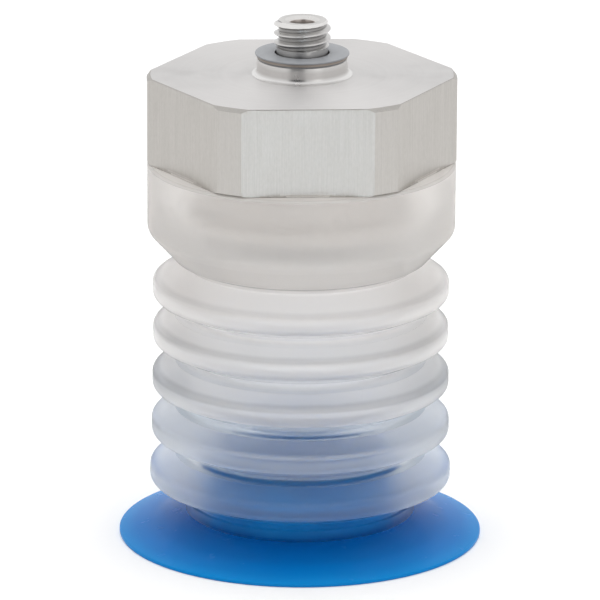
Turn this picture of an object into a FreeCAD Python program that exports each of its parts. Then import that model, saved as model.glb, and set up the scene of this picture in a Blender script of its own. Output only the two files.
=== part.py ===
import FreeCAD, Part
import math
import os

# Bellows suction cup on a hexagonal holder with a hollow threaded stud.
# Millimetres. Origin: centre of the lip's contact plane. +Z: along the axis, towards the stud.
# A flat of the hexagon faces -Y.

# ---- driving dimensions -------------------------------------------------------------
HEX_AF = 24.0            # across the flats
HEX_CORNER_R = 13.24     # corners turned to this radius
HEX_BOTTOM_Z = 33.26
HEX_TOP_Z = 40.87
HEX_TOP_CHAMFER = 0.30   # on the turned corners only
HEX_BOTTOM_CHAMFER = 0.15

SPIGOT_NECK_R = 8.60     # carries the collar
SPIGOT_BARB_R = 9.60     # barb that the collar snaps over
SPIGOT_BARB_TOP_Z = 29.80
SPIGOT_BARB_LOW_Z = 28.30
SPIGOT_END_Z = 26.30
SPIGOT_END_R = 8.10
HOLDER_BORE_R = 2.00     # air passage

BOSS_R = 3.87
BOSS_FILLET = 0.44       # flare at its foot
BOSS_TOP_Z = 42.27
SHANK_R = 3.00
SHANK_END_Z = 35.00
SHANK_CLEAR = 0.02
ORING_Z = 38.40
ORING_GROOVE_R = 2.25
ORING_GROOVE_W = 1.10
ORING_MINOR_R = 0.355

THREAD_MAJOR_R = 2.43    # M5 x 0.8, crest as measured
THREAD_ROOT_R = 2.01
THREAD_PITCH = 0.80
THREAD_CREST = 0.10      # width of the crest flat
THREAD_CREST_LEFT_Z = 43.67   # height of one crest on the -X side
RELIEF_R = 2.19          # plain undercut between thread and gasket
RELIEF_TOP_Z = 43.30
STUD_TOP_Z = 45.62
STUD_RIM_R = 2.035
STUD_LEAD = 0.35         # height of the start chamfer
STUD_BORE_R = 1.08
STUD_SINK_R = 1.48
STUD_SINK_DEPTH = 0.29

GASKET_BORE_R = 2.32     # of the rubber, which stretches over the thread
GASKET_CORE_BORE_R = 2.50
GASKET_FACE_R = 2.48     # inner edge of the sealing face, clear of the thread
GASKET_LOWER_T = 0.10
GASKET_CORE_T = 0.26
GASKET_UPPER_T = 0.14
GASKET_LOWER_R = 3.83
GASKET_CORE_R = 3.88
GASKET_UPPER_R = 4.02

COLLAR_R = 13.20
COLLAR_TAPER_TOP_Z = 27.35
COLLAR_TAPER_R = 10.90
COLLAR_TAPER_LOW_Z = 24.85
COLLAR_EDGE_FILLET = 1.0
COLLAR_CLEAR = 0.04

# Folds of the bellows, from the collar down: crest radius, crest height.
FOLDS = [(12.731, 22.129), (12.724, 18.169), (12.780, 14.031), (12.843, 9.902), (12.982, 5.693)]
CREST_HALF = 0.725       # half height of the crest band, before its edges are rounded
CREST_FILLET = 0.59
VALLEY_R = 9.86          # outside, at the root between two folds
VALLEY_FILLET = 0.35
BELLOWS_TOP_Z = 24.20    # root between collar and first fold
BELLOWS_LOW_Z = 3.663    # root between last fold and neck
WALL_Z = 0.93            # wall measured along Z
INNER_VALLEY_R = 8.86
INNER_CREST_HALF = 0.20
ROOT_HALF = 0.50         # half height of the ring at each root

NECK_R = 9.75
NECK_FOOT_R = 9.90       # slightly wider ring at the neck's foot
NECK_STEP_Z = 3.15
NECK_LOW_Z = 2.10

LIP_R = 15.65
LIP_EDGE_T = 0.30
LIP_ROOT_R = 9.90
LIP_CONTACT_R = 14.95    # inner radius of the flat contact ring
LIP_ROOT_UNDER_Z = 1.30
SLEEVE_R = 8.66          # in the neck
SLEEVE_BORE_R = 7.80
SLEEVE_STEP_Z = 4.20     # slimmer above this, inside the last fold
SLEEVE_TOP_R = 8.40
SLEEVE_TOP_Z = 7.00
LIP_SPLIT_R = 13.90      # rim outside this radius flexes on its own
LIP_SPLIT_GAP = 0.08

OUT = "parts"
os.makedirs("parts", exist_ok=True)


# ---- helpers -----------------------------------------------------------------------
def vec(r, z):
    return FreeCAD.Vector(r, 0, z)


def section(points):
    """Closed wire in the XZ half plane from (r, z[, fillet radius[, share of the sides]]) corners."""
    n = len(points)
    pts = [(float(p[0]), float(p[1])) for p in points]
    rad = [float(p[2]) if len(p) > 2 else 0.0 for p in points]
    share = [float(p[3]) if len(p) > 3 else 0.49 for p in points]
    starts, ends, mids = [], [], []
    for i in range(n):
        p, a, b = pts[i], pts[i - 1], pts[(i + 1) % n]
        if rad[i] <= 0:
            starts.append(p)
            ends.append(p)
            mids.append(None)
            continue
        ua = (a[0] - p[0], a[1] - p[1])
        ub = (b[0] - p[0], b[1] - p[1])
        la, lb = math.hypot(*ua), math.hypot(*ub)
        ua = (ua[0] / la, ua[1] / la)
        ub = (ub[0] / lb, ub[1] / lb)
        ang = math.acos(max(-1.0, min(1.0, ua[0] * ub[0] + ua[1] * ub[1])))
        t = min(rad[i] / math.tan(ang / 2), share[i] * la, share[i] * lb)
        r = t * math.tan(ang / 2)
        bis = (ua[0] + ub[0], ua[1] + ub[1])
        lbis = math.hypot(*bis)
        bis = (bis[0] / lbis, bis[1] / lbis)
        c = (p[0] + bis[0] * r / math.sin(ang / 2), p[1] + bis[1] * r / math.sin(ang / 2))
        starts.append((p[0] + ua[0] * t, p[1] + ua[1] * t))
        ends.append((p[0] + ub[0] * t, p[1] + ub[1] * t))
        mids.append((c[0] - bis[0] * r, c[1] - bis[1] * r))
    edges = []
    for i in range(n):
        if mids[i] is not None:
            edges.append(Part.Arc(vec(*starts[i]), vec(*mids[i]), vec(*ends[i])).toShape())
        a, b = ends[i], starts[(i + 1) % n]
        if math.hypot(a[0] - b[0], a[1] - b[1]) > 1e-7:
            edges.append(Part.LineSegment(vec(*a), vec(*b)).toShape())
    return Part.Wire(edges)


def revolved(points):
    face = Part.Face(section(points))
    return face.revolve(FreeCAD.Vector(0, 0, 0), FreeCAD.Vector(0, 0, 1), 360)


def slab(z0, z1, r=40.0):
    return Part.makeCylinder(r, z1 - z0, FreeCAD.Vector(0, 0, z0))


def export(name, shape):
    solids = shape.Solids
    assert len(solids) == 1, (name, len(solids))
    s = solids[0]
    if s.Volume < 0:
        s.reverse()
    assert s.isValid(), name
    s.exportStep(os.path.join(OUT, name + ".step"))
    b = s.BoundBox
    print("%-24s vol %9.3f mm3  z %7.3f..%7.3f  x %7.3f..%7.3f" % (name, s.Volume, b.ZMin, b.ZMax, b.XMin, b.XMax))


# ---- hexagonal holder: hexagon with turned corners, and a barbed spigot below ----------
flat_r = HEX_AF / 2 / math.cos(math.pi / 6)
hex_pts = [
    FreeCAD.Vector(flat_r * math.cos(math.radians(60 * k)), flat_r * math.sin(math.radians(60 * k)), HEX_BOTTOM_Z)
    for k in range(6)
]
hex_face = Part.Face(Part.makePolygon(hex_pts + [hex_pts[0]]))
hexagon = hex_face.extrude(FreeCAD.Vector(0, 0, HEX_TOP_Z - HEX_BOTTOM_Z))
turned = revolved([
    (0, HEX_BOTTOM_Z),
    (HEX_CORNER_R - HEX_BOTTOM_CHAMFER, HEX_BOTTOM_Z),
    (HEX_CORNER_R, HEX_BOTTOM_Z + HEX_BOTTOM_CHAMFER),
    (HEX_CORNER_R, HEX_TOP_Z - HEX_TOP_CHAMFER),
    (HEX_CORNER_R - HEX_TOP_CHAMFER, HEX_TOP_Z),
    (0, HEX_TOP_Z),
])
block = hexagon.common(turned)
spigot = revolved([
    (0, SPIGOT_END_Z),
    (SPIGOT_END_R, SPIGOT_END_Z, 0.25),
    (SPIGOT_BARB_R, SPIGOT_BARB_LOW_Z, 0.3),
    (SPIGOT_BARB_R, SPIGOT_BARB_TOP_Z - 0.5, 0.2),
    (SPIGOT_NECK_R, SPIGOT_BARB_TOP_Z),
    (SPIGOT_NECK_R, HEX_BOTTOM_Z + 0.5),
    (0, HEX_BOTTOM_Z + 0.5),
])
holder = block.fuse(spigot)
passage = revolved([
    (0, SPIGOT_END_Z - 1),
    (4.4, SPIGOT_END_Z - 1),
    (4.4, SPIGOT_END_Z),
    (HOLDER_BORE_R, SPIGOT_END_Z + 2.4),
    (HOLDER_BORE_R, SHANK_END_Z - 0.05),
    (SHANK_R + SHANK_CLEAR, SHANK_END_Z - 0.05),
    (SHANK_R + SHANK_CLEAR, HEX_TOP_Z + 1),
    (0, HEX_TOP_Z + 1),
])
holder = holder.cut(passage).removeSplitter()
export("hex_holder", holder)

# ---- hollow threaded stud with its boss and shank -------------------------------------
stud = revolved([
    (0, SHANK_END_Z),
    (SHANK_R - 0.3, SHANK_END_Z),
    (SHANK_R, SHANK_END_Z + 0.3),
    (SHANK_R, ORING_Z - ORING_GROOVE_W / 2),
    (ORING_GROOVE_R, ORING_Z - ORING_GROOVE_W / 2),
    (ORING_GROOVE_R, ORING_Z + ORING_GROOVE_W / 2),
    (SHANK_R, ORING_Z + ORING_GROOVE_W / 2),
    (SHANK_R, HEX_TOP_Z),
    (BOSS_R + BOSS_FILLET, HEX_TOP_Z),
    (BOSS_R + BOSS_FILLET, HEX_TOP_Z + 0.04),
    (BOSS_R, HEX_TOP_Z + 0.04, BOSS_FILLET, 0.95),
    (BOSS_R, BOSS_TOP_Z, 0.06),
    (RELIEF_R, BOSS_TOP_Z),
    (RELIEF_R, RELIEF_TOP_Z),
    (0, RELIEF_TOP_Z),
])
# helical groove, right hand: its middle is half a pitch from the crest on the -X side
root_flat = THREAD_PITCH - THREAD_CREST - 2 * (THREAD_MAJOR_R - THREAD_ROOT_R) * math.tan(math.radians(30))
out_r = THREAD_MAJOR_R + 0.05
half_root = root_flat / 2
half_out = half_root + (out_r - THREAD_ROOT_R) * math.tan(math.radians(30))
groove_z0 = THREAD_CREST_LEFT_Z - THREAD_PITCH      # groove height at angle 0
helix = Part.makeHelix(THREAD_PITCH, 4.2 * THREAD_PITCH, THREAD_ROOT_R)
helix.translate(FreeCAD.Vector(0, 0, groove_z0))
tooth = Part.makePolygon([
    FreeCAD.Vector(THREAD_ROOT_R, 0, groove_z0 - half_root),
    FreeCAD.Vector(out_r, 0, groove_z0 - half_out),
    FreeCAD.Vector(out_r, 0, groove_z0 + half_out),
    FreeCAD.Vector(THREAD_ROOT_R, 0, groove_z0 + half_root),
    FreeCAD.Vector(THREAD_ROOT_R, 0, groove_z0 - half_root),
])
groove = Part.Wire(helix.Edges).makePipeShell([tooth], True, True)
blank = Part.makeCylinder(THREAD_MAJOR_R, STUD_TOP_Z - RELIEF_TOP_Z, FreeCAD.Vector(0, 0, RELIEF_TOP_Z))
thread = blank.cut(groove)
assert thread.Volume < blank.Volume * 0.9
# run-out above the undercut and start chamfer at the top
lead = revolved([
    (0, RELIEF_TOP_Z),
    (RELIEF_R, RELIEF_TOP_Z),
    (THREAD_MAJOR_R + 0.02, RELIEF_TOP_Z + 0.23),
    (THREAD_MAJOR_R + 0.02, STUD_TOP_Z - STUD_LEAD - 0.02),
    (STUD_RIM_R, STUD_TOP_Z, 0.05),
    (0, STUD_TOP_Z),
])
thread = thread.common(lead)
bore = revolved([
    (0, SHANK_END_Z - 1),
    (STUD_BORE_R, SHANK_END_Z - 1),
    (STUD_BORE_R, STUD_TOP_Z - STUD_SINK_DEPTH),
    (STUD_SINK_R, STUD_TOP_Z),
    (STUD_SINK_R, STUD_TOP_Z + 1),
    (0, STUD_TOP_Z + 1),
])
stud = stud.fuse(thread).cut(bore)
export("threaded_stud", stud)

# ---- O-ring under the boss, in the shank's groove --------------------------------------
oring = Part.makeTorus((ORING_GROOVE_R + SHANK_R) / 2, ORING_MINOR_R, FreeCAD.Vector(0, 0, ORING_Z))
export("stud_o_ring", oring)

# ---- bonded gasket: rubber, steel, rubber ----------------------------------------------
z = BOSS_TOP_Z
export("gasket_lower_rubber", revolved([
    (GASKET_BORE_R, z), (GASKET_LOWER_R, z), (GASKET_LOWER_R, z + GASKET_LOWER_T), (GASKET_BORE_R, z + GASKET_LOWER_T)]))
z += GASKET_LOWER_T
export("gasket_steel_core", revolved([
    (GASKET_CORE_BORE_R, z), (GASKET_CORE_R, z, 0.03), (GASKET_CORE_R, z + GASKET_CORE_T, 0.03),
    (GASKET_CORE_BORE_R, z + GASKET_CORE_T)]))
z += GASKET_CORE_T
export("gasket_upper_rubber", revolved([
    (GASKET_BORE_R, z), (GASKET_UPPER_R, z), (GASKET_UPPER_R, z + GASKET_UPPER_T, 0.05),
    (GASKET_FACE_R, z + GASKET_UPPER_T)]))

# ---- bellows: one moulding, divided at its roots where it flexes -----------------------
roots = [BELLOWS_TOP_Z]
for k in range(4):
    roots.append((FOLDS[k][1] + FOLDS[k + 1][1]) / 2)
roots.append(BELLOWS_LOW_Z)

outer = [
    (SPIGOT_NECK_R + COLLAR_CLEAR, HEX_BOTTOM_Z),
    (COLLAR_R, HEX_BOTTOM_Z, 0.25),
    (COLLAR_R, COLLAR_TAPER_TOP_Z, COLLAR_EDGE_FILLET),
    (COLLAR_TAPER_R, COLLAR_TAPER_LOW_Z, 0.35),
    (VALLEY_R + 0.05, BELLOWS_TOP_Z + 0.25, 0.2),
]
for k, (rc, zc) in enumerate(FOLDS):
    if k:
        outer.append((VALLEY_R, roots[k], VALLEY_FILLET))
    else:
        outer.append((VALLEY_R + 0.05, BELLOWS_TOP_Z - 0.1, 0.2))
    outer.append((rc, zc + CREST_HALF, CREST_FILLET))
    outer.append((rc, zc - CREST_HALF, CREST_FILLET))
outer += [
    (NECK_R, BELLOWS_LOW_Z, VALLEY_FILLET),
    (NECK_R, NECK_STEP_Z + 0.06),
    (NECK_R - 0.07, NECK_STEP_Z),
    (NECK_FOOT_R, NECK_STEP_Z - 0.10, 0.08),
    (NECK_FOOT_R, NECK_LOW_Z),
    (INNER_VALLEY_R, NECK_LOW_Z),
]
inner = []
for k in range(4, -1, -1):
    rc, zc = FOLDS[k]
    for side in (-1, 1):
        edge = roots[k + 1] if side < 0 else roots[k]
        edge_r = VALLEY_R
        slope = (abs(edge - zc) - CREST_HALF) / (rc - edge_r)
        # the inside of the wall lies WALL_Z below or above the outside
        r_in = rc + (CREST_HALF - WALL_Z - INNER_CREST_HALF) / slope
        z_valley = zc + side * (abs(edge - zc) - WALL_Z + (edge_r - INNER_VALLEY_R) * slope)
        if side < 0:
            inner.append((INNER_VALLEY_R, z_valley, 0.15))
            inner.append((r_in, zc - INNER_CREST_HALF, 0.12))
        else:
            inner.append((r_in, zc + INNER_CREST_HALF, 0.12))
            inner.append((INNER_VALLEY_R, z_valley, 0.15))
c = COLLAR_CLEAR
inner += [
    (INNER_VALLEY_R, SPIGOT_END_Z - 0.5, 0.3),
    (SPIGOT_END_R + c, SPIGOT_END_Z - 0.25, 0.2),
    (SPIGOT_BARB_R + c, SPIGOT_BARB_LOW_Z, 0.3),
    (SPIGOT_BARB_R + c, SPIGOT_BARB_TOP_Z - 0.5 + c, 0.2),
    (SPIGOT_NECK_R + c, SPIGOT_BARB_TOP_Z + c),
]
moulding = revolved(outer + inner)
assert moulding.isValid()
export("bellows_collar", moulding.common(slab(roots[0] - ROOT_HALF, HEX_BOTTOM_Z + 1)))
for k in range(5):
    top = roots[k] - ROOT_HALF
    low = roots[k + 1] + ROOT_HALF
    export("bellows_fold_%d" % (k + 1), moulding.common(slab(low, top)))
    if k < 4:
        export("bellows_root_%d" % (k + 1), moulding.common(slab(low - 2 * ROOT_HALF, low)))
# the wider ring at the neck's foot is bonded to the lip; the neck bends in the groove above it
export("bellows_neck", moulding.common(slab(NECK_STEP_Z, roots[5] + ROOT_HALF)))
export("bellows_foot_ring", moulding.common(slab(NECK_LOW_Z - 1, NECK_STEP_Z)))

# ---- flared lip with the sleeve that carries it in the neck ----------------------------
lip = revolved([
    (SLEEVE_BORE_R, LIP_ROOT_UNDER_Z + 0.25, 0.2),
    (SLEEVE_BORE_R, SLEEVE_TOP_Z, 0.15),
    (SLEEVE_TOP_R, SLEEVE_TOP_Z, 0.25),
    (SLEEVE_TOP_R, SLEEVE_STEP_Z + 0.5, 0.4),
    (SLEEVE_R, SLEEVE_STEP_Z, 0.3),
    (SLEEVE_R, NECK_LOW_Z),
    (LIP_ROOT_R - 0.05, NECK_LOW_Z),
    (LIP_ROOT_R + 0.35, NECK_LOW_Z - 0.22, 0.4),
    (12.6, 1.02, 6.0),
    (LIP_R - 0.05, LIP_EDGE_T),
    (LIP_R, LIP_EDGE_T - 0.06),
    (LIP_R, 0.05),
    (LIP_R - 0.05, 0.0),
    (LIP_CONTACT_R, 0.0, 0.3),
    (12.4, 0.55, 6.0),
    (LIP_ROOT_R - 0.3, LIP_ROOT_UNDER_Z, 0.8),
])
export("suction_lip", lip.common(slab(-1, 10, LIP_SPLIT_R - LIP_SPLIT_GAP / 2)))
export("lip_rim", lip.common(slab(-1, 10).cut(slab(-2, 11, LIP_SPLIT_R + LIP_SPLIT_GAP / 2))))

print("roots", ["%.4f" % r for r in roots])
print("fold travel at half height", ["%.4f" % ((roots[k] - roots[k + 1]) / 2) for k in range(5)])
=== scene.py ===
import math

import bmesh
import bpy
from mathutils import Matrix, Vector


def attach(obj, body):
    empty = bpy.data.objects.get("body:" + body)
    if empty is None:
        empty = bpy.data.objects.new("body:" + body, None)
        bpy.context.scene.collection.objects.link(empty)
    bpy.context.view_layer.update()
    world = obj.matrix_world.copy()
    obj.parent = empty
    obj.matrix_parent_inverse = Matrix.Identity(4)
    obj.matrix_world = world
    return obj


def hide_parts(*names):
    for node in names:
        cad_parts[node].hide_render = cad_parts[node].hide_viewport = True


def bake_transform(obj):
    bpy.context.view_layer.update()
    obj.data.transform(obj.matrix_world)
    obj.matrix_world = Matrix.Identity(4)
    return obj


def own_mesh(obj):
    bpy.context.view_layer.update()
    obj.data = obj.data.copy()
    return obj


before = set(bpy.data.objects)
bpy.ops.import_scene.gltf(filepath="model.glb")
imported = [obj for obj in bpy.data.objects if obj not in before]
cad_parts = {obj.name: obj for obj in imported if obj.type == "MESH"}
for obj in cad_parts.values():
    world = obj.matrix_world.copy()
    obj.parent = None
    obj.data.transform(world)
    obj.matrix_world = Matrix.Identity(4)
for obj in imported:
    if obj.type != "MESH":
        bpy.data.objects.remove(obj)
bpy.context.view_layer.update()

MM = 0.001
scene = bpy.context.scene

# ---- dimensions in millimetres, as in the CAD model ----------------------------------
HEX_HALF = 12.0
CORNER_R = 13.24
HEX_LOW, HEX_TOP = 33.26, 40.87
TOP_CHAMFER, LOW_CHAMFER = 0.30, 0.15
EDGE = 0.07                      # broken edge along the flats

FOLDS = [(12.731, 22.129), (12.724, 18.169), (12.780, 14.031), (12.843, 9.902), (12.982, 5.693)]
CREST_HALF, CREST_FILLET = 0.725, 0.59
VALLEY_R, VALLEY_FILLET = 9.86, 0.35
INNER_VALLEY_R = 8.86
WALL_Z, INNER_CREST_HALF = 0.93, 0.20
ROOTS = [24.20] + [(FOLDS[k][1] + FOLDS[k + 1][1]) / 2 for k in range(4)] + [3.663]
RING = 0.45                      # half the height of the ring between two folds
SEAM = 0.001                     # between two lengths of the moulding


# ---- mesh helpers --------------------------------------------------------------------
def rounded(points, closed=False, step=8.0):
    """Polyline through (r, z[, fillet radius]) corners, with each fillet as a sampled arc."""
    n = len(points)
    out = []
    for i, q in enumerate(points):
        p = (float(q[0]), float(q[1]))
        rad = float(q[2]) if len(q) > 2 else 0.0
        if rad <= 0 or (not closed and i in (0, n - 1)):
            out.append(p)
            continue
        a, b = points[i - 1], points[(i + 1) % n]
        ua = Vector((a[0] - p[0], a[1] - p[1]))
        ub = Vector((b[0] - p[0], b[1] - p[1]))
        la, lb = ua.length, ub.length
        ua.normalize()
        ub.normalize()
        ang = math.acos(max(-1.0, min(1.0, ua.dot(ub))))
        t = min(rad / math.tan(ang / 2), 0.49 * la, 0.49 * lb)
        r = t * math.tan(ang / 2)
        bis = (ua + ub).normalized()
        c = Vector(p) + bis * (r / math.sin(ang / 2))
        s, e = Vector(p) + ua * t - c, Vector(p) + ub * t - c
        turn = math.pi - ang
        m = max(3, int(math.ceil(math.degrees(turn) / step)))
        a0 = math.atan2(s.y, s.x)
        d = math.atan2(e.y, e.x) - a0
        d = (d + math.pi) % (2 * math.pi) - math.pi
        for k in range(m + 1):
            w = a0 + d * k / m
            out.append((c.x + r * math.cos(w), c.y + r * math.sin(w)))
    return out


def divided(profile, longest, closed=True):
    """The profile with its long straight runs divided, so that the faces stay well shaped."""
    out = []
    n = len(profile)
    for i in range(n if closed else n - 1):
        a, b = profile[i], profile[(i + 1) % n]
        out.append(a)
        d = math.hypot(b[0] - a[0], b[1] - a[1])
        m = int(math.ceil(d / longest))
        for k in range(1, m):
            out.append((a[0] + (b[0] - a[0]) * k / m, a[1] + (b[1] - a[1]) * k / m))
    if not closed:
        out.append(profile[-1])
    return out


def cut(chain, z0, z1):
    """The part of a chain, monotonic in z, from height z0 to height z1."""
    lo, hi = min(z0, z1), max(z0, z1)
    out = []
    for a, b in zip(chain, chain[1:]):
        za, zb = a[1], b[1]
        if lo - 1e-9 <= za <= hi + 1e-9:
            out.append(a)
        for z in ((hi, lo) if za > zb else (lo, hi)):
            if min(za, zb) + 1e-9 < z < max(za, zb) - 1e-9:
                t = (z - za) / (zb - za)
                out.append((a[0] + (b[0] - a[0]) * t, z))
    if lo - 1e-9 <= chain[-1][1] <= hi + 1e-9:
        out.append(chain[-1])
    return out


def finish_mesh(name, verts, faces, mats, index=None, sharp=30.0):
    me = bpy.data.meshes.new(name)
    me.from_pydata([(x * MM, y * MM, z * MM) for x, y, z in verts], [], faces)
    for m in mats:
        me.materials.append(m)
    if index:
        for p, i in zip(me.polygons, index):
            p.material_index = i
    bm = bmesh.new()
    bm.from_mesh(me)
    bmesh.ops.recalc_face_normals(bm, faces=bm.faces)
    bm.to_mesh(me)
    bm.free()
    for p in me.polygons:
        p.use_smooth = True
    me.set_sharp_from_angle(angle=math.radians(sharp))
    me.update()
    ob = bpy.data.objects.new(name, me)
    scene.collection.objects.link(ob)
    return ob


def tidy(profile):
    """The profile without points that lie on each other."""
    out = []
    for p in profile:
        if not out or math.hypot(p[0] - out[-1][0], p[1] - out[-1][1]) > 1e-5:
            out.append(p)
    return out


def lathe(name, profile, mats, seg=240, sharp=30.0, pick=None):
    """Closed (r, z) profile turned about the axis. pick gives the material's number for the face after each point."""
    n = len(profile)
    verts, faces, index = [], [], []
    for i in range(seg):
        a = 2 * math.pi * i / seg
        c, s = math.cos(a), math.sin(a)
        verts += [(r * c, r * s, z) for r, z in profile]
    which = [pick(k, profile[k], profile[(k + 1) % n]) if pick else 0 for k in range(n)]
    for i in range(seg):
        j = (i + 1) % seg
        for k in range(n):
            m = (k + 1) % n
            faces.append((i * n + k, j * n + k, j * n + m, i * n + m))
            index.append(which[k])
    return finish_mesh(name, verts, faces, mats, index, sharp=sharp)


# ---- material helpers ----------------------------------------------------------------
def material(name):
    m = bpy.data.materials.new(name)
    m.use_nodes = True
    nt = m.node_tree
    nt.nodes.clear()
    out = nt.nodes.new("ShaderNodeOutputMaterial")
    b = nt.nodes.new("ShaderNodeBsdfPrincipled")
    nt.links.new(b.outputs["BSDF"], out.inputs["Surface"])
    return m, nt, b


def coords(nt, scale):
    """Object coordinates in millimetres times scale."""
    tc = nt.nodes.new("ShaderNodeTexCoord")
    mp = nt.nodes.new("ShaderNodeMapping")
    mp.inputs["Scale"].default_value = [1000.0 * s for s in scale]
    nt.links.new(tc.outputs["Object"], mp.inputs["Vector"])
    return mp.outputs["Vector"]


def noise(nt, vec, detail=3.0, rough=0.55, scale=1.0):
    t = nt.nodes.new("ShaderNodeTexNoise")
    t.inputs["Scale"].default_value = scale
    t.inputs["Detail"].default_value = detail
    t.inputs["Roughness"].default_value = rough
    nt.links.new(vec, t.inputs["Vector"])
    return t.outputs["Fac"]


def spread(nt, fac, lo, hi, a=0.3, b=0.7):
    m = nt.nodes.new("ShaderNodeMapRange")
    m.inputs["From Min"].default_value = a
    m.inputs["From Max"].default_value = b
    m.inputs["To Min"].default_value = lo
    m.inputs["To Max"].default_value = hi
    nt.links.new(fac, m.inputs["Value"])
    return m.outputs["Result"]


def ramp(nt, fac, *stops):
    r = nt.nodes.new("ShaderNodeValToRGB")
    el = r.color_ramp.elements
    while len(el) < len(stops):
        el.new(0.5)
    for e, (pos, col) in zip(el, stops):
        e.position = pos
        e.color = (*col, 1.0)
    nt.links.new(fac, r.inputs["Fac"])
    return r.outputs["Color"]


def bump(nt, bsdf, height, strength, distance_mm, below=None):
    b = nt.nodes.new("ShaderNodeBump")
    b.inputs["Strength"].default_value = strength
    b.inputs["Distance"].default_value = distance_mm * MM
    nt.links.new(height, b.inputs["Height"])
    if below is not None:
        nt.links.new(below, b.inputs["Normal"])
    nt.links.new(b.outputs["Normal"], bsdf.inputs["Normal"])
    return b.outputs["Normal"]


def distance_from_axis(nt):
    tc = nt.nodes.new("ShaderNodeTexCoord")
    flat = nt.nodes.new("ShaderNodeVectorMath")
    flat.operation = "MULTIPLY"
    flat.inputs[1].default_value = (1.0, 1.0, 0.0)
    nt.links.new(tc.outputs["Object"], flat.inputs[0])
    ln = nt.nodes.new("ShaderNodeVectorMath")
    ln.operation = "LENGTH"
    nt.links.new(flat.outputs["Vector"], ln.inputs[0])
    return ln.outputs["Value"]


def turned_height(nt, z_scale, r_scale):
    """Fine lathe lines: noise that depends on height and on the distance from the axis only."""
    tc = nt.nodes.new("ShaderNodeTexCoord")
    sep = nt.nodes.new("ShaderNodeSeparateXYZ")
    nt.links.new(tc.outputs["Object"], sep.inputs["Vector"])
    xy = nt.nodes.new("ShaderNodeCombineXYZ")
    nt.links.new(sep.outputs["X"], xy.inputs["X"])
    nt.links.new(sep.outputs["Y"], xy.inputs["Y"])
    ln = nt.nodes.new("ShaderNodeVectorMath")
    ln.operation = "LENGTH"
    nt.links.new(xy.outputs["Vector"], ln.inputs[0])
    rz = nt.nodes.new("ShaderNodeCombineXYZ")
    nt.links.new(ln.outputs["Value"], rz.inputs["X"])
    nt.links.new(sep.outputs["Z"], rz.inputs["Z"])
    mp = nt.nodes.new("ShaderNodeMapping")
    mp.inputs["Scale"].default_value = (1000.0 * r_scale, 1.0, 1000.0 * z_scale)
    nt.links.new(rz.outputs["Vector"], mp.inputs["Vector"])
    return mp.outputs["Vector"]


def round_tangent(nt, bsdf):
    t = nt.nodes.new("ShaderNodeTangent")
    t.direction_type = "RADIAL"
    t.axis = "Z"
    nt.links.new(t.outputs["Tangent"], bsdf.inputs["Tangent"])


# ---- materials -----------------------------------------------------------------------
def make_silicone(name, low, high, transmission, ior, rough_lo, rough_hi):
    m, nt, b = material(name)
    b.inputs["IOR"].default_value = ior
    b.inputs["Transmission Weight"].default_value = transmission
    cloud = noise(nt, coords(nt, (0.16, 0.16, 0.22)), detail=2.0)
    nt.links.new(ramp(nt, cloud, (0.35, low), (0.65, high)), b.inputs["Base Color"])
    haze = noise(nt, coords(nt, (0.9, 0.9, 2.6)), detail=4.0, rough=0.6)
    nt.links.new(spread(nt, haze, rough_lo, rough_hi), b.inputs["Roughness"])
    frost = noise(nt, coords(nt, (5.5, 5.5, 9.0)), detail=3.0, rough=0.6)
    bump(nt, b, frost, 0.08, 0.03)
    return m


def make_joint():
    """Inside the moulding, where two lengths of it meet: the light goes straight on."""
    m, nt, b = material("silicone_joint")
    b.inputs["IOR"].default_value = 1.0
    b.inputs["Transmission Weight"].default_value = 1.0
    b.inputs["Roughness"].default_value = 0.0
    cloud = noise(nt, coords(nt, (0.16, 0.16, 0.22)), detail=2.0)
    nt.links.new(ramp(nt, cloud, (0.35, (0.992, 0.992, 0.992)), (0.65, (1.0, 1.0, 1.0))), b.inputs["Base Color"])
    return m


SILICONE = make_silicone("silicone_thin", (0.915, 0.904, 0.893), (0.935, 0.925, 0.916), 0.99, 1.22, 0.56, 0.66)
JOINT = make_joint()
# painted shade on the under side of each fold and on the root below it, darker and tinted blue where the blue sleeve is
# behind it
UNDER_SHADE = [(0.76, 0.76, 0.775), (0.73, 0.738, 0.755), (0.60, 0.66, 0.73), (0.78, 0.81, 0.85), (0.75, 0.80, 0.85)]
VEIL = [0.02, 0.03, 0.28, 0.30, 0.10]     # milkiness of the under side
ROOT = [make_silicone("silicone_root_shade_%d" % (k + 1), UNDER_SHADE[k], tuple(v + 0.025 for v in UNDER_SHADE[k]), 1.0 - VEIL[k], 1.06, 0.60, 0.70) for k in range(4)]
# painted shade on the upper side of the next fold just below each valley, tinted blue in the two lowest valleys where
# the sleeve is behind it
VALLEY_SHADE = [make_silicone("silicone_valley_shade_%d" % (k + 1), tuple(v - 0.03 for v in c), c, t, n, 0.48, 0.58) for k, (c, t, n) in enumerate([
    ((0.88, 0.87, 0.865), 0.99, 1.22), ((0.71, 0.718, 0.735), 0.99, 1.22), ((0.58, 0.64, 0.70), 0.92, 1.06), ((0.60, 0.65, 0.70), 0.93, 1.06)])]
CLEAR = make_silicone("silicone_clear", (0.90, 0.895, 0.89), (0.92, 0.915, 0.91), 0.99, 1.06, 0.50, 0.60)


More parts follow.
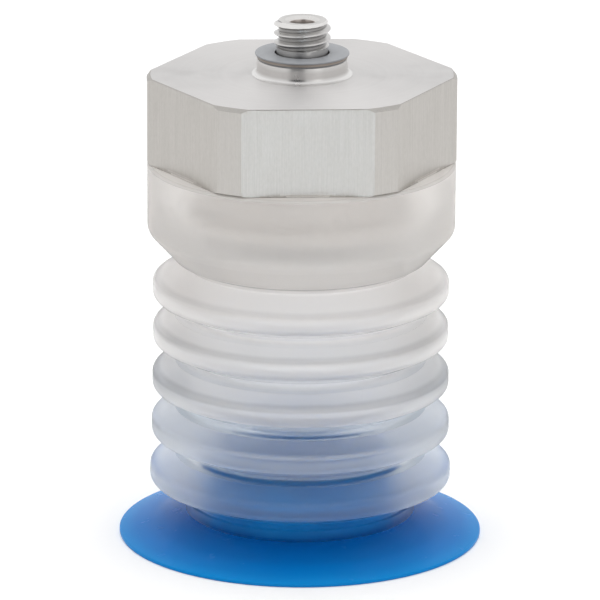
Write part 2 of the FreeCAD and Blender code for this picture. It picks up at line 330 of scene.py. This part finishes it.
def make_fold(name, zc, wall, under, milk, shade, edge, peak, veil):
    """Wall of one fold: milky round the crest at height zc, with a line of painted shade along its upper shoulder and
    painted shade at its under side.
    """
    m, nt, b = material(name)
    tc = nt.nodes.new("ShaderNodeTexCoord")
    sep = nt.nodes.new("ShaderNodeSeparateXYZ")
    nt.links.new(tc.outputs["Object"], sep.inputs["Vector"])
    cloud = noise(nt, coords(nt, (0.35, 0.35, 0.5)), detail=3.0)
    lay = nt.nodes.new("ShaderNodeMath")
    lay.operation = "MULTIPLY_ADD"
    lay.inputs[1].default_value = 0.00012
    nt.links.new(cloud, lay.inputs[0])
    nt.links.new(sep.outputs["Z"], lay.inputs[2])
    low, high = zc - 2.0 + 0.06, zc + 2.0 + 0.06
    fac = spread(nt, lay.outputs["Value"], 0.0, 1.0, low * MM, high * MM)

    def at(mm, v):
        return (mm + 2.0) / 4.0, v

    grey = lambda v: (v, v, v)
    clear = ramp(nt, fac, at(-1.05, grey(1.0 - veil)), at(-0.80, grey(1.0 - veil)), at(-0.52, grey(1.0 - milk)), at(-0.32, grey(1.0 - peak)), at(0.02, grey(1.0 - peak)), at(0.26, grey(1.0 - 0.6 * milk)), at(0.70, grey(0.99)))
    nt.links.new(clear, b.inputs["Transmission Weight"])
    nt.links.new(spread(nt, fac, 1.06, 1.22, *[at(v, 0)[0] for v in (-0.95, -0.65)]), b.inputs["IOR"])
    dim = tuple(v * shade for v in wall)
    nt.links.new(ramp(nt, fac, at(-1.00, under), at(-0.76, wall), at(edge - 0.16, wall), at(edge, dim), at(0.92, dim), at(1.08, wall)), b.inputs["Base Color"])
    haze = noise(nt, coords(nt, (0.9, 0.9, 2.6)), detail=4.0, rough=0.6)
    nt.links.new(spread(nt, haze, 0.56, 0.66), b.inputs["Roughness"])
    frost = noise(nt, coords(nt, (5.5, 5.5, 9.0)), detail=3.0, rough=0.6)
    bump(nt, b, frost, 0.08, 0.03)
    return m


NECK = make_silicone("silicone_neck", (0.975, 0.975, 0.975), (0.99, 0.99, 0.99), 1.0, 1.15, 0.34, 0.42)


def make_collar():
    """Thick wall of the collar, with painted shade: darker towards its tapered lower end and a little darker at its top
    under the hex.
    """
    m, nt, b = material("silicone_thick_painted_shade")
    b.inputs["IOR"].default_value = 1.20
    b.inputs["Transmission Weight"].default_value = 0.66
    tc = nt.nodes.new("ShaderNodeTexCoord")
    sep = nt.nodes.new("ShaderNodeSeparateXYZ")
    nt.links.new(tc.outputs["Object"], sep.inputs["Vector"])
    cloud = noise(nt, coords(nt, (0.16, 0.16, 0.22)), detail=2.0)
    lay = nt.nodes.new("ShaderNodeMath")
    lay.operation = "MULTIPLY_ADD"
    lay.inputs[1].default_value = 0.0004
    nt.links.new(cloud, lay.inputs[0])
    nt.links.new(sep.outputs["Z"], lay.inputs[2])
    fac = spread(nt, lay.outputs["Value"], 0.0, 1.0, 24.2 * MM, 34.2 * MM)

    def at(mm, v):
        return (mm - 24.0) / 10.0, (v, v * 0.975, v * 0.95)

    nt.links.new(ramp(nt, fac, at(24.9, 0.75), at(25.5, 0.82), at(26.60, 0.855), at(26.74, 0.89), at(27.6, 0.92), at(29.5, 0.945), at(31.5, 0.92), at(33.2, 0.89)), b.inputs["Base Color"])
    haze = noise(nt, coords(nt, (0.9, 0.9, 2.6)), detail=4.0, rough=0.6)
    nt.links.new(spread(nt, haze, 0.8, 0.9), b.inputs["Roughness"])
    frost = noise(nt, coords(nt, (5.5, 5.5, 9.0)), detail=3.0, rough=0.6)
    bump(nt, b, frost, 0.08, 0.03)
    return m


THICK = make_collar()

# painted shade: darker copies of the collar silicone on the rounded top edge of the collar and on its flat top under
# the hex
RIM_SHADE = make_silicone("silicone_rim_painted_shade", (0.610, 0.585, 0.560), (0.635, 0.610, 0.585), 0.12, 1.20, 0.6, 0.7)
LEDGE_SHADE = make_silicone("silicone_ledge_painted_shade", (0.745, 0.715, 0.685), (0.775, 0.745, 0.715), 0.12, 1.20, 0.6, 0.7)


def make_blue(name, inner):
    """Blue lip: painted shade makes it darkest just outside the neck, and from there it gets lighter towards its thin
    rim. inner is its colour inside the neck, a lighter blue: painted light.
    """
    m, nt, b = material(name)
    b.inputs["IOR"].default_value = 1.41
    b.inputs["Specular IOR Level"].default_value = 0.10
    far = distance_from_axis(nt)
    cloud = noise(nt, coords(nt, (0.12, 0.12, 0.12)), detail=2.0)
    lay = nt.nodes.new("ShaderNodeMath")
    lay.operation = "MULTIPLY_ADD"
    lay.inputs[1].default_value = 0.0010
    nt.links.new(cloud, lay.inputs[0])
    nt.links.new(far, lay.inputs[2])
    fac = spread(nt, lay.outputs["Value"], 0.0, 1.0, 0.0085, 0.0161)
    nt.links.new(ramp(nt, fac, (0.0, inner), (0.16, (0.0006, 0.090, 0.370)), (0.5, (0.0008, 0.135, 0.470)), (0.82, (0.001, 0.175, 0.535)), (0.96, (0.003, 0.225, 0.60))),
                 b.inputs["Base Color"])
    haze = noise(nt, coords(nt, (0.7, 0.7, 0.7)), detail=4.0, rough=0.6)
    nt.links.new(spread(nt, haze, 0.20, 0.28), b.inputs["Roughness"])
    skin = noise(nt, coords(nt, (4.0, 4.0, 4.0)), detail=3.0)
    bump(nt, b, skin, 0.04, 0.02)
    return m


BLUE = make_blue("lip_blue_silicone", (0.002, 0.300, 0.760))
# the sleeve inside the last fold, in two copies of the blue: painted light near its foot, painted shade near its top
SLEEVE_LIT_AND_SHADED = [make_blue("sleeve_blue_low_painted_light", (0.002, 0.36, 0.90)), make_blue("sleeve_blue_top_painted_shade", (0.001, 0.20, 0.52))]


def make_drawn(name, low, high, rough_lo, rough_hi, along=0.10, across=5.0):
    """Drawn bar: fine streaks that run along Z."""
    m, nt, b = material(name)
    b.inputs["Metallic"].default_value = 1.0
    streak = noise(nt, coords(nt, (across, across, along)), detail=5.0, rough=0.65)
    grain = noise(nt, coords(nt, (7.0, 7.0, 2.2)), detail=2.0)
    mix = nt.nodes.new("ShaderNodeMath")
    mix.operation = "MULTIPLY_ADD"
    mix.inputs[1].default_value = 0.35
    nt.links.new(grain, mix.inputs[0])
    half = nt.nodes.new("ShaderNodeMath")
    half.operation = "MULTIPLY"
    half.inputs[1].default_value = 0.65
    nt.links.new(streak, half.inputs[0])
    nt.links.new(half.outputs["Value"], mix.inputs[2])
    f = mix.outputs["Value"]
    nt.links.new(ramp(nt, f, (0.32, low), (0.68, high)), b.inputs["Base Color"])
    nt.links.new(spread(nt, f, rough_hi, rough_lo), b.inputs["Roughness"])
    bump(nt, b, f, 0.14, 0.02)
    return m


DRAWN = make_drawn("aluminium_drawn_flats", (0.440, 0.421, 0.396), (0.508, 0.488, 0.462), 0.36, 0.46, along=0.14, across=9.0)
# painted light: lighter copies of the drawn aluminium along the lower edge of each flat
FOOT_LIGHT = [make_drawn("aluminium_drawn_foot_painted_light_%d" % (k + 1), (v - 0.03, v - 0.049, v - 0.074), (v + 0.03, v + 0.011, v - 0.014), 0.36, 0.46, along=0.14, across=9.0) for k, v in enumerate((0.58, 0.80))]
CORNER = make_drawn("aluminium_drawn_corners", (0.478, 0.460, 0.436), (0.536, 0.517, 0.492), 0.36, 0.46, along=0.14, across=9.0)


def make_turned(name, low, high, rough_lo, rough_hi, z_scale, r_scale, strength, aniso):
    m, nt, b = material(name)
    b.inputs["Metallic"].default_value = 1.0
    b.inputs["Anisotropic"].default_value = aniso
    b.inputs["Anisotropic Rotation"].default_value = 0.25
    round_tangent(nt, b)
    lines = noise(nt, turned_height(nt, z_scale, r_scale), detail=3.0, rough=0.6)
    cloud = noise(nt, coords(nt, (0.5, 0.5, 0.5)), detail=2.0)
    nt.links.new(ramp(nt, lines, (0.3, low), (0.7, high)), b.inputs["Base Color"])
    nt.links.new(spread(nt, cloud, rough_lo, rough_hi), b.inputs["Roughness"])
    bump(nt, b, lines, strength, 0.01)
    return m


FACED = make_turned("aluminium_faced_top", (0.80, 0.785, 0.777), (0.825, 0.81, 0.802), 0.46, 0.54, 2.2, 2.2, 0.015, 0.86)
# painted shade: a dark copy of the faced aluminium for the spigot's lower end inside the collar and for the narrow bore
SPIGOT_SHADE = make_turned("aluminium_spigot_end_painted_shade", (0.20, 0.195, 0.19), (0.25, 0.245, 0.24), 0.50, 0.60, 2.2, 2.2, 0.015, 0.3)
CORE = make_turned("gasket_core_steel", (0.26, 0.225, 0.20), (0.40, 0.355, 0.32), 0.36, 0.48, 8.0, 8.0, 0.2, 0.3)


def make_stud():
    """Turned steel, coloured by distance from the axis: painted shade in the roots of the thread and in the bore,
    painted highlight on the countersink and on the flare at the foot of the boss.
    """
    m, nt, b = material("stud_turned_steel_painted_shade_and_highlights")
    b.inputs["Metallic"].default_value = 1.0
    b.inputs["Anisotropic"].default_value = 0.7
    b.inputs["Anisotropic Rotation"].default_value = 0.25
    round_tangent(nt, b)
    lines = noise(nt, turned_height(nt, 9.0, 9.0), detail=3.0, rough=0.6)
    lay = nt.nodes.new("ShaderNodeMath")
    lay.operation = "MULTIPLY_ADD"
    lay.inputs[1].default_value = 0.00003
    nt.links.new(lines, lay.inputs[0])
    nt.links.new(distance_from_axis(nt), lay.inputs[2])
    fac = spread(nt, lay.outputs["Value"], 0.0, 1.0, 0.001015, 0.004415)

    def at(mm, col):
        return (mm - 1.0) / 3.4, col

    nt.links.new(ramp(nt, fac, at(1.09, (0.62, 0.57, 0.54)), at(1.14, (0.81, 0.795, 0.78)), at(1.46, (0.81, 0.795, 0.78)), at(1.50, (0.70, 0.685, 0.67)), at(1.97, (0.75, 0.735, 0.72)), at(2.00, (0.28, 0.274, 0.269)),
                      at(2.03, (0.30, 0.294, 0.289)), at(2.12, (0.68, 0.67, 0.66)), at(2.40, (0.66, 0.65, 0.64)), at(2.60, (0.66, 0.645, 0.632)), at(3.88, (0.66, 0.645, 0.632)), at(4.00, (0.86, 0.85, 0.84))),
                 b.inputs["Base Color"])
    cloud = noise(nt, coords(nt, (0.5, 0.5, 0.5)), detail=2.0)
    nt.links.new(spread(nt, cloud, 0.27, 0.35), b.inputs["Roughness"])
    bump(nt, b, lines, 0.10, 0.01)
    return m


STEEL = make_stud()
# lit and shaded copies of the turned steel: painted highlight on the start chamfer at the top, painted shade with a
# weaker edge tint on the under side of the thread, and painted shade in the undercut below the thread
LEAD_HIGHLIGHT = make_turned("stud_lead_steel_painted_highlight", (0.84, 0.825, 0.81), (0.88, 0.865, 0.85), 0.30, 0.38, 9.0, 9.0, 0.10, 0.5)
FLANK_SHADE = make_turned("stud_under_flank_steel_painted_shade", (0.53, 0.521, 0.513), (0.59, 0.580, 0.571), 0.36, 0.44, 9.0, 9.0, 0.10, 0.5)
RELIEF = make_turned("stud_relief_steel_painted_shade", (0.40, 0.393, 0.387), (0.47, 0.462, 0.455), 0.27, 0.35, 9.0, 9.0, 0.10, 0.7)
FLANK_SHADE.node_tree.nodes["Principled BSDF"].inputs["Specular Tint"].default_value = (0.4, 0.4, 0.4, 1.0)


def make_rubber(name, low, high, rough):
    m, nt, b = material(name)
    cloud = noise(nt, coords(nt, (1.2, 1.2, 1.2)), detail=4.0)
    nt.links.new(ramp(nt, cloud, (0.3, low), (0.7, high)), b.inputs["Base Color"])
    nt.links.new(spread(nt, cloud, rough, rough + 0.12), b.inputs["Roughness"])
    skin = noise(nt, coords(nt, (14.0, 14.0, 14.0)), detail=3.0)
    bump(nt, b, skin, 0.12, 0.01)
    return m


GASKET = make_rubber("gasket_rubber_grey", (0.255, 0.265, 0.282), (0.315, 0.325, 0.342), 0.34)
SEAL = make_rubber("seal_rubber_black", (0.012, 0.012, 0.013), (0.03, 0.03, 0.032), 0.5)


# ---- hexagonal holder ----------------------------------------------------------------
N_FLAT, N_ARC = 24, 8


def outline(half, rc):
    """Hexagon of half width half across the flats, with its corners turned to radius rc."""
    pts = []
    al = math.acos(min(1.0, half / rc))
    for k in range(6):
        f = math.radians(-90 + 60 * k)
        for i in range(N_FLAT):
            s = half * math.tan(-al + 0.0) + 2 * half * math.tan(al) * i / N_FLAT
            pts.append((half * math.cos(f) - s * math.sin(f), half * math.sin(f) + s * math.cos(f)))
        for i in range(N_ARC):
            a = f + al + (math.pi / 3 - 2 * al) * i / N_ARC
            pts.append((rc * math.cos(a), rc * math.sin(a)))
    return pts


def circle(r):
    base = outline(HEX_HALF, CORNER_R)
    return [(r * x / math.hypot(x, y), r * y / math.hypot(x, y)) for x, y in base]


def build_holder():
    e = EDGE
    rows = []          # (points, z, what the wall below this row is)
    rows.append((circle(3.02), HEX_TOP, "top"))
    rows.append((circle(5.0), HEX_TOP, "top"))
    rows.append((circle(8.5), HEX_TOP, "top"))
    rows.append((outline(HEX_HALF - e, CORNER_R - TOP_CHAMFER - e * 0.4), HEX_TOP, "edge"))
    rows.append((outline(HEX_HALF - 0.3 * e, CORNER_R - TOP_CHAMFER + e * 0.2), HEX_TOP - 0.3 * e, "edge"))
    rows.append((outline(HEX_HALF, CORNER_R - TOP_CHAMFER + e), HEX_TOP - e, "cham"))
    rows.append((outline(HEX_HALF, CORNER_R - TOP_CHAMFER / 2), HEX_TOP - TOP_CHAMFER / 2 - 0.02, "cham"))
    rows.append((outline(HEX_HALF, CORNER_R), HEX_TOP - TOP_CHAMFER - 0.02, "wall"))
    for t in (0.25, 0.5, 0.75):
        rows.append((outline(HEX_HALF, CORNER_R), HEX_TOP - TOP_CHAMFER + t * (HEX_LOW + LOW_CHAMFER - HEX_TOP + TOP_CHAMFER), "wall"))
    rows.append((outline(HEX_HALF, CORNER_R), HEX_LOW + 0.33, "foot"))
    rows.append((outline(HEX_HALF, CORNER_R), HEX_LOW + LOW_CHAMFER, "toe"))
    rows.append((outline(HEX_HALF, CORNER_R - LOW_CHAMFER + 0.02), HEX_LOW + 0.02, "edge"))
    rows.append((outline(HEX_HALF - 0.02, CORNER_R - LOW_CHAMFER), HEX_LOW, "top"))
    spigot = rounded([
        (8.60, HEX_LOW, 0.0), (8.60, 29.80), (9.60, 29.30, 0.2), (9.60, 28.30, 0.3),
        (8.10, 26.30, 0.25), (4.4, 26.30), (2.0, 28.7), (2.0, 34.95), (3.02, 34.95), (3.02, HEX_TOP)])
    # the lower end of the spigot inside the collar and the narrow bore take the darker aluminium, painted shade
    for r, z in spigot[:-1]:
        rows.append((circle(r), z, "end" if z < 28.35 or r < 2.5 else "turn"))
    n = 6 * (N_FLAT + N_ARC)
    verts, faces, index = [], [], []
    for pts, z, _ in rows:
        verts += [(x, y, z) for x, y in pts]
    m = len(rows)
    for a in range(m):
        b = (a + 1) % m
        kind = rows[a][2]
        for i in range(n):
            j = (i + 1) % n
            faces.append((a * n + i, b * n + i, b * n + j, a * n + j))
            on_arc = (i % (N_FLAT + N_ARC)) >= N_FLAT
            if kind in ("top", "turn"):
                index.append(2)
            elif kind == "end":
                index.append(5)
            # the lowest bands of each flat take the lighter aluminium: painted light, strongest at the middle of the
            # flat
            elif kind in ("foot", "toe") and not on_arc:
                side = abs(i % (N_FLAT + N_ARC) - 11.5) / 12       # 0 at the middle of the flat, 1 at its ends
                index.append(0 if side > (0.45 if kind == "foot" else 0.62) else 3 if side > 0.33 or kind == "foot" else 4)
            elif on_arc or kind == "edge":
                index.append(1)
            else:
                index.append(0)
    ob = finish_mesh("holder_block", verts, faces, [DRAWN, CORNER, FACED] + FOOT_LIGHT + [SPIGOT_SHADE], index, sharp=18.0)
    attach(ob, "holder")
    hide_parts("hex_holder")
    return ob


build_holder()


# ---- stud, seal and gasket -----------------------------------------------------------
def repaint(node, mat):
    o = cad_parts[node]
    for s in range(len(o.data.materials)):
        o.material_slots[s].material = mat
    return o


repaint("stud_o_ring", SEAL)

THREAD_R, THREAD_ROOT, PITCH, CREST_Z = 2.43, 2.01, 0.80, 43.67     # one crest on the -X side is at CREST_Z
STUD_TOP, RELIEF_TOP, RELIEF_R = 45.62, 43.30, 2.19


def thread_radius(a, z):
    """Radius of the right-hand thread at angle a and height z, with its run-out and its start chamfer."""
    u = (z - CREST_Z - PITCH * (a - math.pi) / (2 * math.pi)) % PITCH
    u = min(u, PITCH - u)
    r = max(THREAD_ROOT, THREAD_R - max(0.0, u - 0.05) / math.tan(math.radians(30)))
    r = min(r, RELIEF_R + (z - RELIEF_TOP) * 0.26 / 0.23)
    return min(r, 2.45 - max(0.0, z - 45.25) * 0.415 / 0.37)


def build_stud(seg=200):
    foot = [(4.31 + 0.44 * math.cos(math.radians(t)), 41.35 + 0.44 * math.sin(math.radians(t))) for t in range(270, 179, -9)]
    low = divided([(1.08, 35.0), (2.7, 35.0), (3.0, 35.3), (3.0, 37.85), (2.25, 37.85), (2.25, 38.95), (3.0, 38.95), (3.0, 40.88), (4.31, 40.88)]
                  + foot + [(3.87, 42.21), (3.852, 42.252), (3.81, 42.27), (RELIEF_R, 42.27), (RELIEF_R, RELIEF_TOP - 0.02)], 0.45, closed=False)
    steps = 93
    helix = [RELIEF_TOP + (STUD_TOP - RELIEF_TOP) * i / steps for i in range(steps + 1)]
    high = divided([(2.0, STUD_TOP), (1.50, STUD_TOP), (1.46, STUD_TOP - 0.015), (1.09, 45.34), (1.08, 45.31), (1.08, 35.0)], 0.45, closed=False)[:-1]
    n = len(low) + len(helix) + len(high)
    verts, faces, index = [], [], []

    def part(i, k):
        """Start chamfer 1, under side of the thread 2, undercut 3, all else 0."""
        if k < len(low) and low[k][1] > 42.26 and low[k][0] < 2.3:
            return 3
        k -= len(low)
        if k == steps:
            return 1
        if not 0 <= k < steps:
            return 0
        a, z = 2 * math.pi * (i + 0.5) / seg, (helix[k] + helix[k + 1]) / 2
        if z > 45.25 and thread_radius(a, z) > 2.45 - (z - 45.25) * 0.415 / 0.37 - 1e-6:
            return 1
        u = (z - CREST_Z - PITCH * (a - math.pi) / (2 * math.pi) + PITCH / 2) % PITCH - PITCH / 2
        return 2 if -0.30 < u < -0.05 else 0

    for i in range(seg):
        a = 2 * math.pi * i / seg
        row = low + [(thread_radius(a, z), z) for z in helix] + high
        verts += [(r * math.cos(a), r * math.sin(a), z) for r, z in row]
    for i in range(seg):
        j = (i + 1) % seg
        for k in range(n):
            m = (k + 1) % n
            faces.append((i * n + k, j * n + k, j * n + m, i * n + m))
            index.append(part(i, k))
    ob = finish_mesh("stud", verts, faces, [STEEL, LEAD_HIGHLIGHT, FLANK_SHADE, RELIEF], index, sharp=62.0)
    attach(ob, "holder")
    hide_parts("threaded_stud")


build_stud()


def gasket(name, node, mat, pts):
    ob = lathe(name, tidy(divided(rounded(pts, closed=True, step=15.0), 0.3)), [mat], seg=160)
    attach(ob, "holder")
    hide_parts(node)


gasket("gasket_under", "gasket_lower_rubber", GASKET,
       [(2.33, 42.275, 0.02), (3.80, 42.275, 0.03), (3.80, 42.365, 0.03), (2.33, 42.365, 0.02)])
gasket("gasket_core", "gasket_steel_core", CORE,
       [(2.50, 42.37, 0.03), (3.88, 42.37, 0.05), (3.88, 42.63, 0.05), (2.50, 42.63, 0.03)])
gasket("gasket_over", "gasket_upper_rubber", GASKET,
       [(2.33, 42.635, 0.02), (4.02, 42.635, 0.03), (4.02, 42.77, 0.06), (2.33, 42.77, 0.05)])


# ---- bellows moulding ----------------------------------------------------------------
outer = [
    (8.64, HEX_LOW - 0.01), (13.20, HEX_LOW - 0.01, 0.25), (13.20, 27.35, 1.0), (10.90, 24.85, 0.35),
    (VALLEY_R + 0.05, 24.45, 0.2)]
for k, (rc, zc) in enumerate(FOLDS):
    if k:
        outer.append((VALLEY_R, ROOTS[k], VALLEY_FILLET))
    else:
        outer.append((VALLEY_R + 0.05, 24.10, 0.2))
    outer.append((rc, zc + CREST_HALF, CREST_FILLET))
    outer.append((rc, zc - CREST_HALF, CREST_FILLET))
outer += [(9.75, 3.663, VALLEY_FILLET), (9.75, 3.21), (9.68, 3.15), (9.90, 3.05, 0.08), (9.90, 2.12), (INNER_VALLEY_R, 2.12)]
inner = [(INNER_VALLEY_R, 2.12)]
for k in range(4, -1, -1):
    rc, zc = FOLDS[k]
    for side in (-1, 1):
        edge = ROOTS[k + 1] if side < 0 else ROOTS[k]
        slope = (abs(edge - zc) - CREST_HALF) / (rc - VALLEY_R)
        r_in = rc + (CREST_HALF - WALL_Z - INNER_CREST_HALF) / slope
        z_val = zc + side * (abs(edge - zc) - WALL_Z + (VALLEY_R - INNER_VALLEY_R) * slope)
        two = [(INNER_VALLEY_R, z_val, 0.15), (r_in, zc + side * INNER_CREST_HALF, 0.12)]
        inner += two if side < 0 else two[::-1]
inner += [(INNER_VALLEY_R, 25.80, 0.3), (8.14, 26.05, 0.2), (9.64, 28.30, 0.3), (9.64, 29.34, 0.2),
          (8.64, 29.84), (8.64, HEX_LOW - 0.01)]
# colour of each fold's wall; the blue tint of folds 4 and 5 is painted light from the blue lip and sleeve below them
WALL = [(0.910, 0.889, 0.871), (0.912, 0.895, 0.881), (0.908, 0.895, 0.887), (0.908, 0.936, 0.972), (0.930, 0.955, 0.985)]
SHADE = [0.83, 0.75, 0.71, 0.97, 0.95]    # painted shade of the line along the upper shoulder
SHOULDER = [0.75, 0.70, 0.53, 0.66, 0.72] # height of its lower side above the crest
PEAK = [0.50, 0.48, 0.35, 0.24, 0.08]     # milkiness at the middle of the crest
OUTER = rounded(outer)
INNER = rounded(inner)


def moulded(name, top, low, nodes, mats, split=None, inside=None):
    """One length of the moulding, from height top to height low. Neighbours meet face to face. The outside below height split, the inside above height inside, and the collar's top take the last material."""
    top, low = top - SEAM / 2, low + SEAM / 2
    out = tidy(divided(cut(OUTER, top, low), 0.25, closed=False))
    ins = tidy(divided(cut(INNER, low, top), 0.25, closed=False))
    n = len(out)

    def pick(k, p, q):
        """Outside, flat ends where two lengths meet, top edge of the collar, and inside."""
        if abs(p[1] - q[1]) < 1e-6 and min(abs(p[1] - top), abs(p[1] - low)) < 1e-6:
            return 1 if p[1] < 33.0 else 4
        if k >= n:
            return 4 if inside is not None and p[1] + q[1] > 2 * inside else 3
        if split is not None and p[1] + q[1] < 2 * split:
            return 4
        return 2 if p[1] + q[1] > 2 * HEX_LOW - 0.54 else 0

    ob = lathe(name, out + ins, mats, pick=pick)
    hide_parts(*nodes)
    return ob


COLLAR_TOP, NECK_TOP, NECK_LOW = HEX_LOW - 0.01 + SEAM / 2, 3.30, 2.12 - SEAM / 2
ob = moulded("collar", COLLAR_TOP, ROOTS[0], ["bellows_collar"], [THICK, JOINT, RIM_SHADE, THICK, LEDGE_SHADE])
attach(ob, "holder")

for k in range(1, 6):
    top = ROOTS[k - 1] - (RING if k > 1 else 0.0)
    low = ROOTS[k] + RING
    ob = moulded("fold_%d" % k, top, low, ["bellows_fold_%d" % k], [make_fold("silicone_fold_%d" % k, FOLDS[k - 1][1], WALL[k - 1], UNDER_SHADE[k - 1], 0.24 if k < 5 else 0.11, SHADE[k - 1], SHOULDER[k - 1], PEAK[k - 1], VEIL[k - 1]), JOINT, RIM_SHADE, SILICONE, CLEAR], inside=top - 0.36 if k > 3 else None)
    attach(ob, "fold_%d" % k)
    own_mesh(ob)

for k in range(1, 6):
    top = ROOTS[k] + RING
    low = ROOTS[k] - RING if k < 5 else NECK_TOP
    ob = moulded("root_%d" % k if k < 5 else "neck_top", top, low, ["bellows_root_%d" % k] if k < 5 else ["bellows_neck"], [ROOT[k - 1] if k < 5 else NECK, JOINT, RIM_SHADE, SILICONE if k < 5 else NECK] + ([VALLEY_SHADE[k - 1]] if k < 5 else []), split=ROOTS[k] if k < 5 else None)
    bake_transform(ob)

ob = moulded("neck_low", NECK_TOP, NECK_LOW, ["bellows_foot_ring"], [NECK, JOINT, RIM_SHADE, NECK])
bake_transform(ob)

# ---- lip -----------------------------------------------------------------------------
lip = rounded([
    (7.80, 1.55, 0.2), (7.80, 7.00, 0.15), (8.40, 7.00, 0.25), (8.40, 4.70, 0.4), (8.66, 4.20, 0.3), (8.66, 2.10, 0.05), (9.85, 2.10, 0.05), (10.25, 1.88, 0.4),
    (12.6, 1.02, 6.0), (15.60, 0.30, 0.04), (15.65, 0.24, 0.03), (15.65, 0.05, 0.03), (15.60, 0.0, 0.03),
    (14.95, 0.0, 0.3), (12.4, 0.55, 6.0), (9.6, 1.30, 0.8)], closed=True)


def lip_part(k, p, q):
    """Lip and bore of the sleeve, foot of the sleeve, and its upper half."""
    r, z = (p[0] + q[0]) / 2, (p[1] + q[1]) / 2
    if r < 7.95 or r > 8.75 or z < 3.5:
        return 0
    return 2 if z > 5.0 else 1


ob = lathe("lip", tidy(divided(lip, 0.45)), [BLUE] + SLEEVE_LIT_AND_SHADED, pick=lip_part)
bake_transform(ob)
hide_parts("suction_lip", "lip_rim")

# ---- floor, light and camera ---------------------------------------------------------
me = bpy.data.meshes.new("floor")
me.from_pydata([(-1.5, -1.5, -0.00002), (1.5, -1.5, -0.00002), (1.5, 1.5, -0.00002), (-1.5, 1.5, -0.00002)], [], [(0, 1, 2, 3)])
m, nt, b = material("floor_white")
b.inputs["Base Color"].default_value = (0.97, 0.97, 0.97, 1)
b.inputs["Roughness"].default_value = 0.9
b.inputs["Specular IOR Level"].default_value = 0.0
me.materials.append(m)
floor = bpy.data.objects.new("floor", me)
scene.collection.objects.link(floor)

world = bpy.data.worlds.new("studio")
scene.world = world
world.use_nodes = True
wt = world.node_tree
bg = wt.nodes["Background"]
bg.inputs["Strength"].default_value = 1.0


def lobe(direction, inner_deg, outer_deg, colour, below):
    """Mixes colour over below inside a soft cone round direction."""
    tc = wt.nodes.new("ShaderNodeTexCoord")
    dot = wt.nodes.new("ShaderNodeVectorMath")
    dot.operation = "DOT_PRODUCT"
    dot.inputs[1].default_value = Vector(direction).normalized()
    wt.links.new(tc.outputs["Generated"], dot.inputs[0])
    mr = wt.nodes.new("ShaderNodeMapRange")
    mr.interpolation_type = "SMOOTHSTEP"
    mr.inputs["From Min"].default_value = math.cos(math.radians(outer_deg))
    mr.inputs["From Max"].default_value = math.cos(math.radians(inner_deg))
    wt.links.new(dot.outputs["Value"], mr.inputs["Value"])
    mx = wt.nodes.new("ShaderNodeMix")
    mx.data_type = "RGBA"
    wt.links.new(mr.outputs["Result"], mx.inputs["Factor"])
    if below is None:
        mx.inputs["A"].default_value = (0.86, 0.86, 0.86, 1.0)
    else:
        wt.links.new(below, mx.inputs["A"])
    mx.inputs["B"].default_value = (*colour, 1.0)
    return mx.outputs["Result"]


sky = lobe((0.0, 0.0, 1.0), 10, 75, (0.92, 0.92, 0.92), None)
# the gap between the two front panels of the studio
for lift in (0.15, 0.60):
    sky = lobe((-0.25, -1.0, lift), 10, 26, (0.06, 0.062, 0.068), sky)
sky = lobe((0.63, -0.78, 0.30), 4, 15, (1.55, 1.55, 1.55), sky)
wt.links.new(sky, bg.inputs["Color"])


def softbox(name, loc, target, size, power, colour=(1, 1, 1), spread=180.0, seen=True):
    la = bpy.data.lights.new(name, "AREA")
    la.shape = "RECTANGLE"
    la.size, la.size_y = size
    la.energy = power
    la.color = colour
    la.spread = math.radians(spread)
    o = bpy.data.objects.new(name, la)
    o.location = loc
    o.rotation_euler = (Vector(target) - Vector(loc)).to_track_quat("-Z", "Y").to_euler()
    o.visible_glossy = seen
    scene.collection.objects.link(o)
    return o


softbox("top_box", (0.0, 0.05, 0.60), (0, 0, 0.02), (0.5, 0.5), 1.8, seen=False)
softbox("front_floor", (0.0, -0.15, 0.10), (0, -0.15, 0), (0.10, 0.06), 0.060, (0.74, 0.88, 1.0), spread=70.0, seen=False)

# camera: measured from the photograph, 600 by 600
az, pitch, roll = math.radians(2.545), math.radians(16.508), math.radians(0.29)
dist, height, focal_px = 547.77, 183.09, 6640.46
pos = Vector((-dist * math.sin(az), -dist * math.cos(az), height)) * MM
fwd = Vector((math.sin(az) * math.cos(pitch), math.cos(az) * math.cos(pitch), -math.sin(pitch)))
right = fwd.cross(Vector((0, 0, 1))).normalized()
up = right.cross(fwd).normalized()
r2 = right * math.cos(roll) - up * math.sin(roll) * -1.0
u2 = up * math.cos(roll) + right * math.sin(roll) * -1.0
cam = bpy.data.cameras.new("camera")
cam.sensor_width = 36.0
cam.lens = focal_px / 600.0 * 36.0
cam.clip_start, cam.clip_end = 0.01, 10.0
co = bpy.data.objects.new("camera", cam)
rot = Matrix((r2, u2, -fwd)).transposed()
co.matrix_world = Matrix.Translation(pos - right * 0.080 * MM) @ rot.to_4x4()
scene.collection.objects.link(co)
scene.camera = co

scene.view_settings.view_transform = "Standard"
scene.view_settings.look = "None"
scene.cycles.max_bounces = 48
scene.cycles.transmission_bounces = 48
scene.cycles.diffuse_bounces = 32
scene.cycles.glossy_bounces = 48
scene.cycles.caustics_reflective = True
scene.cycles.caustics_refractive = True
scene.cycles.sample_clamp_indirect = 3.0
